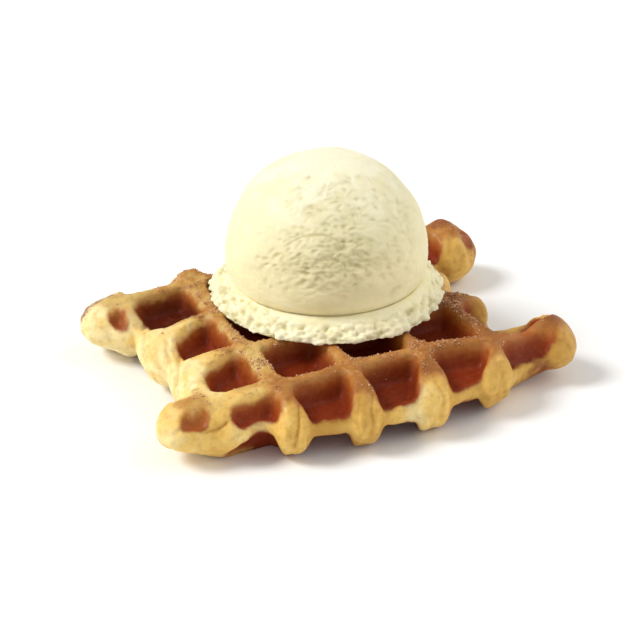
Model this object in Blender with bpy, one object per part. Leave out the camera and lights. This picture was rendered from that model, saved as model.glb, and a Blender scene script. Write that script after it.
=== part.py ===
"""Croissant waffle with one scoop of vanilla ice cream. Metres, +Z up.

The waffle is one piece of laminated dough, pressed in a deep square-grid iron. It has a thin web at
mid height, ridges above and below it, rounded knuckles where the ridges reach the open edge, and
four blunt arms. The scoop is a dome on a ragged skirt that rests on the ridge tops.

Plan positions are counted in cells of the iron's grid: cell (0, 0) is the front left one, x runs
along the piece and y runs from front to back. Heights are in metres.
"""

import math

import bpy
import numpy as np
from mathutils import Vector, noise

# Grid of the iron
PITCH = 0.024
THICKNESS = 0.0205
WEB = 0.0040
RIDGE_TOP = 0.0018
WALL_RUN = 0.0044
GRID_CENTRE = (2.502, 2.421)

# Last column of each row's pits, above and below
LAST_COLUMN = {0: 4, 1: 4, 2: 3, 3: 4, 4: 4}
LAST_UNDER = {0: 3, 1: 4, 2: 3, 3: 4, 4: 4}

# Lean and bend of the grid at the front right, and its small waves, in cells
LEAN = 0.28
BEND = 0.17
WAVE = 0.018
RIPPLE = 0.012

# Dough edge
EDGE_ROUND = 0.0120
LEFT_ROUND = 0.0145
KNUCKLE = 0.0030
FLARE = 0.06
FLARE_RIGHT = 0.05
FLAT_TRIM = 0.0008
FOLD = 0.0006
FOLD_LENGTH = 0.0052
UNEVEN = 0.0005
UNEVEN_LENGTH = 0.016
EDGE_BLEND = 0.16
CORNER_BLEND = 0.0012

# Body of the dough in cells: sides, and front and back edges that bow outwards
BODY_LEFT = 0.24
BODY_RIGHT = 4.24
FRONT_EDGE = 0.20
BACK_EDGE = 4.66
BOW = 0.09
BOW_CENTRE = 2.55

# Arms and side bulges in cells: root, tip centre, radius at the root and at the tip
ARMS = (
    ((0.60, 1.22), (-0.21, 1.14), 0.44, 0.25),
    ((4.10, 0.93), (4.91, 0.87), 0.40, 0.27),
    ((0.50, 4.02), (-0.16, 4.05), 0.54, 0.29),
    ((4.30, 3.98), (5.10, 3.93), 0.48, 0.36),
    ((0.45, 3.05), (0.42, 2.85), 0.44, 0.42),
    ((0.48, 1.80), (0.46, 2.00), 0.40, 0.38),
    ((4.16, 2.00), (4.22, 1.88), 0.30, 0.32),
    ((4.12, 3.10), (4.16, 2.95), 0.30, 0.30),
    ((4.35, 1.28), (4.80, 1.18), 0.20, 0.22),
    ((0.22, 3.82), (0.02, 3.74), 0.20, 0.17),
)

# Places in cells where the edge draws back: centre, radius, depth
NOTCHES = (((0.62, 0.68), 0.17, 0.20),)

# Extra width in cells of the rims left and right of some pits, by row and column
LEFT_RIM = {(0, 0): 0.18, (1, 0): 0.20, (2, 0): 0.17, (3, 0): 0.09, (3, 1): 0.12, (4, 1): 0.12}
UNDER_RIM = {(0, 0): 0.14, (1, 0): 0.20, (2, 0): 0.17, (3, 0): 0.09}
RIGHT_RIM = {(1, 0): 0.05, (0, 4): 0.04, (1, 4): -0.12, (3, 4): 0.04, (4, 4): 0.04}
FRONT_RIM = {(1, 0): 0.07, (2, 0): 0.06}

# Pits whose left or right wall leans more, and its steepness against the other walls
SOFT_LEFT = ((0, 0), (1, 0), (2, 0), (3, 0))
SOFT_RIGHT = ((0, 4),)
SOFT_WALL = 0.60

# Pits whose back wall leans and comes forward towards its left end, in cells for each cell of width
SLANTED_BACK = {(1, 0): 0.45, (2, 0): 0.60}

# Lips that rose at the open front edge of the web: place along the edge in cells, extra half thickness
LIPS = ((0.55, 0.0006), (1.50, 0.0009), (2.50, 0.0019), (3.50, 0.0013))
LIP_SPREAD = 0.36
LIP_WIDTH = 0.0055

# Small marks of the iron near the arm tips in cells: centre and half sides
TIP_PITS = (
    ((-0.20, 0.72), (0.11, 0.14)),
    ((-0.175, 3.58), (0.03, 0.15)),
    ((5.40, 3.72), (0.05, 0.14)),
)
TIP_PIT_DEPTH = 0.80

# Humps and hollows of the top in cells and metres: centre, radius, height
HUMPS = (
    ((1.08, 4.12), 0.22, 0.0022),
    ((5.10, 4.10), 0.17, 0.0028),
    ((5.34, 3.80), 0.18, 0.0034),
    ((5.00, 0.98), 0.26, 0.0016),
    ((4.50, 0.80), 0.20, -0.0024),
    ((4.45, 0.42), 0.25, -0.0022),
    ((0.28, 3.02), 0.24, -0.0016),
)

# Arms whose underside tapers up from the rest: centre and radius in cells, share of the lower half
UNDERCUTS = (
    ((-0.40, 1.00), 0.36, 0.36),
    ((-0.42, 3.92), 0.26, 0.30),
    ((4.90, 0.66), 0.42, 0.30),
)

# Places where the underside sags: centre and radius in cells, share taken off its rounding
SAGS = (((0.25, 0.82), 0.34, 0.50),)

# Meshing of the dough, over a plan span in cells
SPAN_X = (-1.0, 6.1)
SPAN_Y = (-0.3, 5.2)
SAMPLE = 0.0008
VOXEL = 0.0009
SMOOTHING = 2
WAFFLE_TRIANGLES = 8400
CUTTER_SIDE = 0.4
CUTTER_HEIGHT = 0.1

# Scoop
SCOOP_CELL = (2.64, 2.96)
DOME_RADIUS = 0.0330
DOME_CENTRE_HEIGHT = 0.0142
SKIRT_RADIUS = 0.0384
SKIRT_HEIGHT = 0.0058
SKIRT_SHARE = 0.30
SKIRT_OVERHANG = 0.0012
SKIRT_TUCK = 0.35
GROOVE = 0.0006
CRAG = 0.0011
CRAG_BAND = 0.55
CRAG_BAND_WIDTH = 0.16
RAGGED_EDGE = 0.12
RAGGED_WIDTH = 0.10
REST_GAP = 0.0005
SCOOP_AROUND = 56
SCOOP_RINGS = 26


def clear_scene():
    for obj in list(bpy.data.objects):
        bpy.data.objects.remove(obj, do_unlink=True)


def smoothstep(low, high, value):
    part = np.clip((value - low) / (high - low), 0.0, 1.0)
    return part * part * (3.0 - 2.0 * part)


def smooth_min(a, b, blend):
    near = np.clip(0.5 + 0.5 * (b - a) / blend, 0.0, 1.0)
    return b + (a - b) * near - blend * near * (1.0 - near)


def noise_field(x, y, length, seed):
    """Smooth noise from -1 to 1 over plan positions in metres."""
    points = zip(x.ravel() / length, y.ravel() / length)
    values = [noise.noise(Vector((a, b, seed))) for a, b in points]
    return np.array(values).reshape(x.shape)


def spots(x, y, places):
    """Sum of soft round spots in plan: centre in cells, radius in cells, height of the middle."""
    total = np.zeros_like(x)
    for (cx, cy), radius, height in places:
        total += height * np.exp(-((x - cx) ** 2 + (y - cy) ** 2) / radius**2)
    return total


def grid_coordinates(x, y):
    """Cells as the iron cut them: the grid leans and bends a little at the front right."""
    lean = LEAN * np.clip(1.0 - y, 0.0, 1.0) * np.clip(x / 3.0, 0.0, 1.0)
    bend = BEND * smoothstep(3.0, 4.1, x) * (1.0 - smoothstep(1.0, 2.0, y))
    across = WAVE * np.sin(2.3 * y + 0.7 * x) + RIPPLE * np.sin(5.1 * y + 1.0)
    along = WAVE * np.sin(1.9 * x + 0.5 * y) + RIPPLE * np.sin(4.3 * x + 2.0)
    return x + lean + across, y + bend + along


def pit_floors(last_column, left_rim):
    """Floor rectangle of each pit in grid coordinates. Pits of the outer rows are open outwards."""
    margin = (RIDGE_TOP / 2 + WALL_RUN) / PITCH
    far = 6.0
    floors = []
    for row, last in last_column.items():
        for column in range(last + 1):
            pit = (row, column)
            left = column + margin + left_rim.get(pit, 0.0)
            right = column + 1 - margin - RIGHT_RIM.get(pit, 0.0)
            front = row + margin + FRONT_RIM.get(pit, 0.0) if row > 0 else -far
            back = row + 1 - margin if row < 4 else far
            left_slope = SOFT_WALL if pit in SOFT_LEFT else 1.0
            right_slope = SOFT_WALL if pit in SOFT_RIGHT else 1.0
            slant = SLANTED_BACK.get(pit, 0.0)
            floors.append((left, right, front, back, left_slope, right_slope, slant))
    return floors


def pressed(x, y, last_column=LAST_COLUMN, left_rim=LEFT_RIM):
    """How far the iron pressed the dough in: 0 on the ridges and 1 on the pit floors."""
    u, v = grid_coordinates(x, y)
    at_front = smoothstep(0.75, 0.35, v)
    flare = FLARE * (at_front + smoothstep(4.25, 4.65, v)) + FLARE_RIGHT * at_front * smoothstep(2.2, 3.0, x)
    depth = np.zeros_like(x)
    for left, right, front, back, left_slope, right_slope, slant in pit_floors(last_column, left_rim):
        du = np.maximum((left + flare - u) * left_slope, (u - right + flare) * right_slope)
        du = np.maximum(du, 0.0)
        behind = (v - back + slant * np.clip(right - u, 0.0, 1.0)) * (SOFT_WALL if slant else 1.0)
        dv = np.maximum(np.maximum(front - v, behind), 0.0)
        away = np.hypot(du, dv) * PITCH / WALL_RUN
        depth = np.maximum(depth, 1.0 - smoothstep(0.0, 1.0, away))
    return depth


def tip_marks(x, y):
    depth = np.zeros_like(x)
    for (cx, cy), (half_x, half_y) in TIP_PITS:
        dx = np.maximum(np.abs(x - cx) - half_x, 0.0)
        dy = np.maximum(np.abs(y - cy) - half_y, 0.0)
        away = np.hypot(dx, dy) * PITCH / WALL_RUN
        depth = np.maximum(depth, TIP_PIT_DEPTH * (1.0 - smoothstep(0.0, 1.0, away)))
    return depth


def arm_distance(x, y, root, tip, root_radius, tip_radius):
    """Distance in cells to the edge of a tapered round-ended bar, positive inside."""
    run_x = tip[0] - root[0]
    run_y = tip[1] - root[1]
    along = ((x - root[0]) * run_x + (y - root[1]) * run_y) / (run_x**2 + run_y**2)
    along = np.clip(along, 0.0, 1.0)
    away = np.hypot(x - root[0] - along * run_x, y - root[1] - along * run_y)
    return root_radius + along * (tip_radius - root_radius) - away


def edge_distance(x, y):
    """Distance in metres to the edge of the dough in plan, positive inside."""
    bow = BOW * (x - BOW_CENTRE) ** 2
    inside = smooth_min(x - BODY_LEFT, BODY_RIGHT - x, EDGE_BLEND)
    inside = smooth_min(inside, y - FRONT_EDGE - bow, EDGE_BLEND)
    inside = smooth_min(inside, BACK_EDGE - bow - y, EDGE_BLEND)
    for root, tip, root_radius, tip_radius in ARMS:
        arm = arm_distance(x, y, root, tip, root_radius, tip_radius)
        inside = -smooth_min(-inside, -arm, EDGE_BLEND)
    return (inside - spots(x, y, NOTCHES)) * PITCH


def edge_round(x):
    """Distance over which the dough rounds off to its edge: longer on the left."""
    return LEFT_ROUND + (EDGE_ROUND - LEFT_ROUND) * smoothstep(0.3, 1.3, x)


def under_round(x, y):
    """Distance over which the underside rounds off: shorter where the dough sags."""
    return edge_round(x) * (1.0 - spots(x, y, SAGS))


def front_lip(x, y, press):
    """Extra half thickness of the web along the open front edge."""
    height = sum(high * np.exp(-(((x - at) / LIP_SPREAD) ** 2)) for at, high in LIPS)
    return height * press * smoothstep(LIP_WIDTH, 0.0, edge_distance(x, y)) * (y < 1.0)


def dough_heights(x, y):
    """Half heights of the dough above and below its middle, and the distance to its edge."""
    press = pressed(x, y)
    edge = edge_distance(x, y) + KNUCKLE * (1.0 - press)
    edge += FOLD * noise_field(x * PITCH, y * PITCH, FOLD_LENGTH, 3.0)
    inner = np.clip(edge / edge_round(x), 0.0, 1.0)
    dome = THICKNESS / 2 * np.sqrt(1.0 - (1.0 - inner) ** 2)
    uneven = UNEVEN * noise_field(x * PITCH, y * PITCH, UNEVEN_LENGTH, 7.0)
    depth = (THICKNESS - WEB) / 2
    lip = front_lip(x, y, press)
    above = THICKNESS / 2 + uneven - depth * np.maximum(press, tip_marks(x, y)) + lip
    below = THICKNESS / 2 + FLAT_TRIM - (depth + FLAT_TRIM) * pressed(x, y, LAST_UNDER, UNDER_RIM) + lip
    above += spots(x, y, HUMPS)
    top = smooth_min(dome + np.maximum(above - THICKNESS / 2, 0.0), above, CORNER_BLEND)
    inner = np.clip(edge / under_round(x, y), 0.0, 1.0)
    dome = THICKNESS / 2 * np.sqrt(1.0 - (1.0 - inner) ** 2)
    bottom = smooth_min(dome * (1.0 + 2.0 * FLAT_TRIM / THICKNESS), below, CORNER_BLEND)
    bottom *= 1.0 - spots(x, y, UNDERCUTS)
    return np.maximum(top, 0.0), np.maximum(bottom, 0.0), edge


def slide_to_edge(x, y, edge, step):
    """Moves samples that lie just outside the dough onto its edge, down the slope of the distance."""
    slope_x, slope_y = np.gradient(edge, step * PITCH)
    length = np.maximum(np.hypot(slope_x, slope_y), 0.4)
    move = np.clip(-edge, 0.0, 1.5 * step * PITCH) / length**2 / PITCH
    return x + move * slope_x, y + move * slope_y


def dough_mesh(name, sample):
    """Closed mesh of the dough: an upper and a lower sheet that share the samples outside its edge."""
    step = sample / PITCH
    x, y = np.meshgrid(np.arange(*SPAN_X, step), np.arange(*SPAN_Y, step), indexing="ij")
    top, bottom, edge = dough_heights(x, y)
    inside = edge > 0.0
    px, py = slide_to_edge(x, y, edge, step)
    px = np.where(inside, x, px)
    py = np.where(inside, y, py)
    cell_used = inside[:-1, :-1] | inside[1:, :-1] | inside[:-1, 1:] | inside[1:, 1:]
    upper = np.arange(x.size).reshape(x.shape)
    lower = np.where(inside, upper + x.size, upper)
    middle = THICKNESS / 2
    z_top = np.where(inside, middle + top, middle)
    z_bottom = middle - bottom
    plan_x = (px - GRID_CENTRE[0]) * PITCH
    plan_y = (py - GRID_CENTRE[1]) * PITCH
    upper_points = np.stack([plan_x, plan_y, z_top], -1).reshape(-1, 3)
    lower_points = np.stack([plan_x, plan_y, z_bottom], -1).reshape(-1, 3)
    points = np.concatenate([upper_points, lower_points])
    i, j = np.nonzero(cell_used)
    faces_up = np.stack([upper[i, j], upper[i + 1, j], upper[i + 1, j + 1], upper[i, j + 1]], -1)
    faces_down = np.stack([lower[i, j], lower[i, j + 1], lower[i + 1, j + 1], lower[i + 1, j]], -1)
    faces = np.concatenate([faces_up, faces_down])
    kept, index = np.unique(faces, return_inverse=True)
    mesh = bpy.data.meshes.new(name)
    mesh.from_pydata(points[kept].tolist(), [], index.reshape(faces.shape).tolist())
    mesh.update()
    return mesh


def apply_modifiers(obj):
    graph = bpy.context.evaluated_depsgraph_get()
    mesh = bpy.data.meshes.new_from_object(obj.evaluated_get(graph))
    obj.modifiers.clear()
    obj.data = mesh


def fuse_and_round(obj, voxel, smoothing):
    """Makes one even skin of the two sheets and softens it as baked dough."""
    remesh = obj.modifiers.new("Skin", "REMESH")
    remesh.mode = "VOXEL"
    remesh.voxel_size = voxel
    soften = obj.modifiers.new("Soften", "SMOOTH")
    soften.factor = 0.5
    soften.iterations = smoothing


def cut_flat_below(obj):
    """Cuts the lowest ridges flat at height zero, where the dough rests."""
    bpy.ops.mesh.primitive_cube_add(size=1.0, location=(0.0, 0.0, -CUTTER_HEIGHT / 2))
    cutter = bpy.context.object
    cutter.name = "flat_cutter"
    cutter.scale = (CUTTER_SIDE, CUTTER_SIDE, CUTTER_HEIGHT)
    cutter.hide_render = True
    cutter.display_type = "WIRE"
    cut = obj.modifiers.new("Flat underside", "BOOLEAN")
    cut.operation = "DIFFERENCE"
    cut.object = cutter
    return cutter


def material(name, colour, roughness):
    made = bpy.data.materials.new(name)
    made.use_nodes = True
    shader = made.node_tree.nodes["Principled BSDF"]
    shader.inputs["Base Color"].default_value = (*colour, 1.0)
    shader.inputs["Roughness"].default_value = roughness
    shader.inputs["Metallic"].default_value = 0.0
    return made


def make_waffle():
    waffle = bpy.data.objects.new("waffle", dough_mesh("waffle", SAMPLE))
    bpy.context.collection.objects.link(waffle)
    fuse_and_round(waffle, VOXEL, SMOOTHING)
    bpy.context.view_layer.update()
    apply_modifiers(waffle)
    triangles = sum(len(face.vertices) - 2 for face in waffle.data.polygons)
    thin = waffle.modifiers.new("Fewer faces", "DECIMATE")
    thin.ratio = WAFFLE_TRIANGLES / triangles
    bpy.context.view_layer.update()
    apply_modifiers(waffle)
    cutter = cut_flat_below(waffle)
    bpy.context.view_layer.update()
    apply_modifiers(waffle)
    bpy.data.objects.remove(cutter, do_unlink=True)
    waffle.data.shade_smooth()
    waffle.data.materials.append(material("baked_dough", (0.62, 0.33, 0.10), 0.55))
    return waffle


def scoop_profile(turn):
    """Radius and height of the scoop's outer line, from the skirt's foot (0) to the top (1)."""
    base = THICKNESS + REST_GAP
    centre = base + DOME_CENTRE_HEIGHT
    if turn < SKIRT_SHARE:
        angle = turn / SKIRT_SHARE * math.pi
        lip = (SKIRT_RADIUS - DOME_RADIUS) / 2 + SKIRT_OVERHANG
        radius = SKIRT_RADIUS - lip + lip * math.cos(angle - SKIRT_TUCK)
        height = base + SKIRT_HEIGHT / 2 * (1.0 - math.cos(angle))
        return radius, height
    start = -math.asin((DOME_CENTRE_HEIGHT - SKIRT_HEIGHT - GROOVE) / DOME_RADIUS)
    lift = start + (turn - SKIRT_SHARE) / (1.0 - SKIRT_SHARE) * (math.pi / 2 - start)
    return DOME_RADIUS * math.cos(lift), centre + DOME_RADIUS * math.sin(lift)


def scoop_relief(direction, turn):
    """Outward relief in metres: a torn rough band low on the dome, and a ragged skirt edge."""
    rough = noise.noise(direction * 4.3) + 0.7 * noise.noise(direction * 8.7)
    band = math.exp(-(((turn - CRAG_BAND) / CRAG_BAND_WIDTH) ** 2))
    ragged = math.exp(-(((turn - RAGGED_EDGE) / RAGGED_WIDTH) ** 2))
    return CRAG * rough * (0.25 + 0.75 * band + 1.5 * ragged)


def make_scoop():
    centre_x = (SCOOP_CELL[0] - GRID_CENTRE[0]) * PITCH
    centre_y = (SCOOP_CELL[1] - GRID_CENTRE[1]) * PITCH
    base = THICKNESS + REST_GAP
    points = []
    for ring in range(SCOOP_RINGS):
        turn = ring / SCOOP_RINGS
        radius, height = scoop_profile(turn)
        for step in range(SCOOP_AROUND):
            angle = 2.0 * math.pi * step / SCOOP_AROUND
            direction = Vector((math.cos(angle), math.sin(angle), 4.0 * turn))
            out = radius + scoop_relief(direction, turn)
            x = centre_x + out * math.cos(angle)
            y = centre_y + out * math.sin(angle)
            points.append((x, y, max(height, base)))
    points.append((centre_x, centre_y, base + DOME_CENTRE_HEIGHT + DOME_RADIUS))
    top = len(points) - 1
    faces = [tuple(reversed(range(SCOOP_AROUND)))]
    for ring in range(SCOOP_RINGS - 1):
        for step in range(SCOOP_AROUND):
            after = (step + 1) % SCOOP_AROUND
            low = ring * SCOOP_AROUND
            high = low + SCOOP_AROUND
            faces.append((low + step, low + after, high + after, high + step))
    last = (SCOOP_RINGS - 1) * SCOOP_AROUND
    for step in range(SCOOP_AROUND):
        faces.append((last + step, last + (step + 1) % SCOOP_AROUND, top))
    mesh = bpy.data.meshes.new("ice_cream")
    mesh.from_pydata(points, [], faces)
    mesh.update()
    mesh.shade_smooth()
    scoop = bpy.data.objects.new("ice_cream", mesh)
    bpy.context.collection.objects.link(scoop)
    scoop.data.materials.append(material("vanilla_ice_cream", (0.90, 0.86, 0.68), 0.5))
    return scoop


def main():
    clear_scene()
    make_waffle()
    make_scoop()


main()
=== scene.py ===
"""Croissant waffle with one scoop of vanilla ice cream: the finished surfaces around the fixed frame.

The dough's form repeats the solid's functions at a finer step, and then gets the creases, blisters and
crumbs of baked laminated dough. Browning follows from where the iron touched the dough; its rise towards
the right is partly painted shade, and painted shade darkens the creases and the pits that lie in shade.
The ice cream's colours carry painted light and shade by height, and painted shade in its hollows. Plan
positions are counted in cells of the iron's grid, and heights are in metres.
"""

import math

import bpy
import numpy as np
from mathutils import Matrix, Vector, noise


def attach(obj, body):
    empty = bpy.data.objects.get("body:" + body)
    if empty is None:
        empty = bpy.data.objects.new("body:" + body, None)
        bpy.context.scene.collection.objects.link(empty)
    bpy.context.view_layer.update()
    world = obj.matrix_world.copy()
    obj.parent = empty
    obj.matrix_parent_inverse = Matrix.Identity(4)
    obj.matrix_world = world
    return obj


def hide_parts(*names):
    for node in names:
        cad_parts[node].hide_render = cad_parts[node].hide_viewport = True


# Grid of the iron
PITCH = 0.024
THICKNESS = 0.0205
WEB = 0.0040
RIDGE_TOP = 0.0018
WALL_RUN = 0.0044
GRID_CENTRE = (2.502, 2.421)

# Last column of each row's pits, above and below
LAST_COLUMN = {0: 4, 1: 4, 2: 3, 3: 4, 4: 4}
LAST_UNDER = {0: 3, 1: 4, 2: 3, 3: 4, 4: 4}

# Lean and bend of the grid at the front right, and its small waves, in cells
LEAN = 0.28
BEND = 0.17
WAVE = 0.018
RIPPLE = 0.012

# Dough edge
EDGE_ROUND = 0.0120
LEFT_ROUND = 0.0145
KNUCKLE = 0.0030
FLARE = 0.06
FLARE_RIGHT = 0.05
FLARE_FRONT_FROM = (0.75, 0.35)
FLARE_BACK_FROM = (4.25, 4.65)
FLARE_RIGHT_FROM = (2.2, 3.0)
FLAT_TRIM = 0.0008
FOLD = 0.0006
FOLD_LENGTH = 0.0052
UNEVEN = 0.0005
UNEVEN_LENGTH = 0.016
EDGE_BLEND = 0.16
CORNER_BLEND = 0.0009

# Body of the dough in cells: sides, and front and back edges that bow outwards
BODY_LEFT = 0.24
BODY_RIGHT = 4.24
FRONT_EDGE = 0.20
BACK_EDGE = 4.66
BOW = 0.09
BOW_CENTRE = 2.55

# Arms and side bulges in cells: root, tip centre, radius at the root and at the tip
ARMS = (
    ((0.60, 1.22), (-0.21, 1.14), 0.44, 0.25),
    ((4.10, 0.93), (4.91, 0.87), 0.40, 0.27),
    ((0.50, 4.02), (-0.16, 4.05), 0.54, 0.29),
    ((4.30, 3.98), (5.10, 3.93), 0.48, 0.36),
    ((0.45, 3.05), (0.42, 2.85), 0.44, 0.42),
    ((0.48, 1.80), (0.46, 2.00), 0.40, 0.38),
    ((4.16, 2.00), (4.22, 1.88), 0.30, 0.32),
    ((4.12, 3.10), (4.16, 2.95), 0.30, 0.30),
    ((4.35, 1.28), (4.80, 1.18), 0.20, 0.22),
    ((0.22, 3.82), (0.02, 3.74), 0.20, 0.17),
)

# Places in cells where the edge draws back: centre, radius, depth
NOTCHES = (((0.62, 0.68), 0.17, 0.20),)

# Extra width in cells of the rims left and right of some pits, by row and column
LEFT_RIM = {(0, 0): 0.18, (1, 0): 0.20, (2, 0): 0.17, (3, 0): 0.09, (3, 1): 0.12, (4, 1): 0.12}
UNDER_RIM = {(0, 0): 0.14, (1, 0): 0.20, (2, 0): 0.17, (3, 0): 0.09}
RIGHT_RIM = {(1, 0): 0.05, (0, 4): 0.04, (1, 4): -0.12, (3, 4): 0.04, (4, 4): 0.04}
FRONT_RIM = {(1, 0): 0.07, (2, 0): 0.06}

# Pits whose left or right wall leans more, and its steepness against the other walls
SOFT_LEFT = ((0, 0), (1, 0), (2, 0), (3, 0))
SOFT_RIGHT = ((0, 4),)
SOFT_WALL = 0.60

# Pits whose back wall leans and comes forward towards its left end, in cells for each cell of width
SLANTED_BACK = {(1, 0): 0.45, (2, 0): 0.60}

# Lips that rose at the open front edge of the web: place along the edge in cells, extra half thickness
LIPS = ((0.55, 0.0006), (1.50, 0.0009), (2.50, 0.0019), (3.50, 0.0013))
LIP_SPREAD = 0.36
LIP_WIDTH = 0.0055

# Small marks of the iron near the arm tips in cells: centre and half sides
TIP_PITS = (
    ((-0.20, 0.72), (0.11, 0.14)),
    ((-0.175, 3.58), (0.03, 0.15)),
    ((5.40, 3.72), (0.05, 0.14)),
)
TIP_PIT_DEPTH = 0.80

# Humps and hollows of the top in cells and metres: centre, radius, height
HUMPS = (
    ((1.08, 4.12), 0.22, 0.0022),
    ((5.10, 4.10), 0.17, 0.0028),
    ((5.34, 3.80), 0.18, 0.0034),
    ((5.00, 0.98), 0.26, 0.0016),
    ((4.50, 0.80), 0.20, -0.0024),
    ((4.45, 0.42), 0.25, -0.0022),
    ((0.28, 3.02), 0.24, -0.0016),
)

# Arms whose underside tapers up from the rest: centre and radius in cells, share of the lower half
UNDERCUTS = (
    ((-0.40, 1.00), 0.36, 0.36),
    ((-0.42, 3.92), 0.26, 0.30),
    ((4.90, 0.66), 0.42, 0.30),
)

# Places where the underside sags: centre and radius in cells, share taken off its rounding
SAGS = (((0.25, 0.82), 0.34, 0.50),)

# Meshing of the dough, over a plan span in cells
SPAN_X = (-1.0, 6.1)
SPAN_Y = (-0.3, 5.2)
SAMPLE = 0.00050
VOXEL = 0.00068
SMOOTHING = 2
MASK_BLUR = 9

# Where the dough rose free, from full to none of it: share of its height, and of the rounding of its edge
FREE_HEIGHT = (0.70, 1.0)
FREE_EDGE = (0.55, 1.0)

# Fine relief of the dough: heights in metres. Each noise has a height or share, a length in metres and a seed
CREASE_DEPTH = 0.0004
CREASE_WIDTH = 0.07
CREASE_NOISE = (0.0100, 4)
CREASE_SLANT = 0.35
CREASE_SQUEEZE = 0.25
LAYER_DEPTH = 0.00010
LAYER_NOISE = (0.0220, 9)
LAYER_TURNS = 26.0
BLISTERS = ((0.00011, 0.0026, 5), (0.000066, 0.0013, 6), (0.00007, 0.0007, 7))
CRUMB = 0.00062
CRUMB_NOISES = ((1.5, 0.0016, 8), (0.9, 0.0009, 10))
CRUMB_BASE = 0.3
SMOOTH_WHEN_FREE = 0.6
ROUGH_GAIN = 1.5
# Crease depth at which the painted shade in the creases is full
CREASE_SHADE_FULL = 0.0008

# Lines that the photograph shows waver by a noise: pixels, then its length in metres and seed
WAVER = 1.1
WAVER_NOISE = (0.0030, 31)

# How far a surface has to face the photograph's camera for its lines and its torn marks to start and be full
LINES_FACE = (0.05, 0.35)
MARKS_FACE = (0.15, 0.45)

# Creases between the rolled layers, as pixels of the photograph's frame: line, half width, depth in metres
CREASES = (
    (((297, 386), (299, 404), (299, 426), (295, 447)), 2.0, 0.00075),
    (((282, 411), (287, 428), (292, 442)), 1.8, 0.00030),
    (((373, 395), (372, 411), (374, 423), (371, 436)), 2.1, 0.00068),
    (((360, 398), (357, 420), (361, 441)), 1.7, 0.00030),
    (((436, 382), (444, 398), (441, 420)), 2.1, 0.00052),
    (((426, 396), (429, 410), (426, 424)), 1.7, 0.00022),
    (((487, 362), (500, 384), (497, 400)), 2.0, 0.00030),
    (((205, 432), (217, 430), (227, 423)), 1.8, 0.00082),
    (((202, 393), (211, 403), (214, 414)), 1.8, 0.00022),
    (((232, 424), (238, 436), (233, 448)), 2.0, 0.00022),
    (((141, 304), (147, 317), (144, 331), (142, 347), (145, 362)), 2.2, 0.00060),
    (((166, 342), (170, 367), (176, 383)), 2.0, 0.00045),
    (((156, 346), (157, 362), (168, 379)), 1.8, 0.00030),
    (((150, 336), (149, 350), (156, 366)), 1.8, 0.00022),
    (((180, 357), (177, 370), (176, 384)), 2.1, 0.00075),
    (((190, 364), (185, 372), (187, 381)), 1.8, 0.00022),
    (((128, 322), (134, 338), (133, 355)), 2.0, 0.00030),
    (((527, 325), (535, 317), (541, 316)), 2.0, 0.00045),
    (((543, 333), (547, 345), (539, 357)), 2.2, 0.00038),
    (((463, 239), (469, 255), (473, 267)), 2.1, 0.00038),
    (((453, 231), (450, 242), (449, 256)), 2.1, 0.00045),
)

# Places in cells that are browned more or less than the rest: centre, radius, change
TOASTED = (
    ((1.00, 0.55), 0.28, 0.50),
    ((1.95, 0.35), 0.28, 0.50),
    ((1.48, 0.45), 0.26, 0.60),
    ((2.55, 0.22), 0.45, -0.35),
    ((0.05, 0.80), 0.24, 0.42),
    ((-0.37, 1.25), 0.32, 0.32),
    ((0.48, 1.02), 0.20, 0.30),
    ((1.60, 1.02), 0.36, 0.30),
    ((1.02, 1.02), 0.22, 0.30),
    ((0.96, 1.55), 0.22, -0.25),
    ((4.05, 1.10), 0.34, 0.16),
    ((4.05, 2.05), 0.50, 0.44),
    ((5.04, 0.67), 0.16, -0.25),
    ((4.97, 3.80), 0.14, -0.25),
    ((2.72, 0.47), 0.20, 0.40),
    ((2.95, 0.60), 0.20, 0.30),
    ((5.15, 0.65), 0.35, 0.30),
    ((3.05, 0.30), 0.30, 0.20),
    ((1.28, 0.34), 0.16, 0.35),
    ((0.60, 1.98), 0.20, 0.20),
    ((-0.42, 0.95), 0.25, 0.16),
    ((1.25, 1.90), 0.18, -0.15),
)

# Pits that get painted shade, deepest in the back left pit and in the pits round the scoop, in cells: centre,
# radius, strength; a negative strength takes painted shade away
SHADED_PITS = (
    ((0.58, 3.48), 0.50, 1.3),
    ((2.55, 0.60), 0.40, 0.45),
    ((4.40, 0.50), 0.34, 0.40),
    ((0.60, 2.60), 0.40, -0.30),
    ((1.50, 0.60), 0.40, 0.20),
    ((2.60, 2.20), 1.10, 0.60),
)

# Undersides that show brown through the open front: centre and radius in cells, strength
BROWN_UNDER = (
    ((0.64, 0.92), 0.28, 1.0),
    ((1.50, 0.95), 0.30, 1.0),
    ((2.50, 0.95), 0.30, 1.0),
    ((3.50, 0.90), 0.30, 1.0),
)

# Free edges that browned nevertheless, in cells: centre, radius, strength
BROWN_EDGE = (((4.86, 0.80), 0.26, 0.7), ((4.55, 0.75), 0.22, 0.6), ((5.15, 4.05), 0.20, 0.5))

# Scorched places in cells: centre, radius, strength
CHARS = (
    ((-0.50, 4.22), 0.13, 1.3),
    ((-0.32, 4.24), 0.16, 1.3),
    ((-0.12, 4.26), 0.12, 1.0),
    ((-0.50, 1.42), 0.07, 1.0),
    ((0.10, 1.52), 0.10, 0.5),
    ((4.91, 0.92), 0.24, 0.5),
    ((5.20, 0.94), 0.14, 0.7),
    ((5.12, 4.10), 0.20, 0.9),
    ((5.00, 3.98), 0.15, 0.6),
    ((5.44, 3.64), 0.16, 0.8),
    ((1.09, 4.40), 0.22, 0.8),
)

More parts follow.
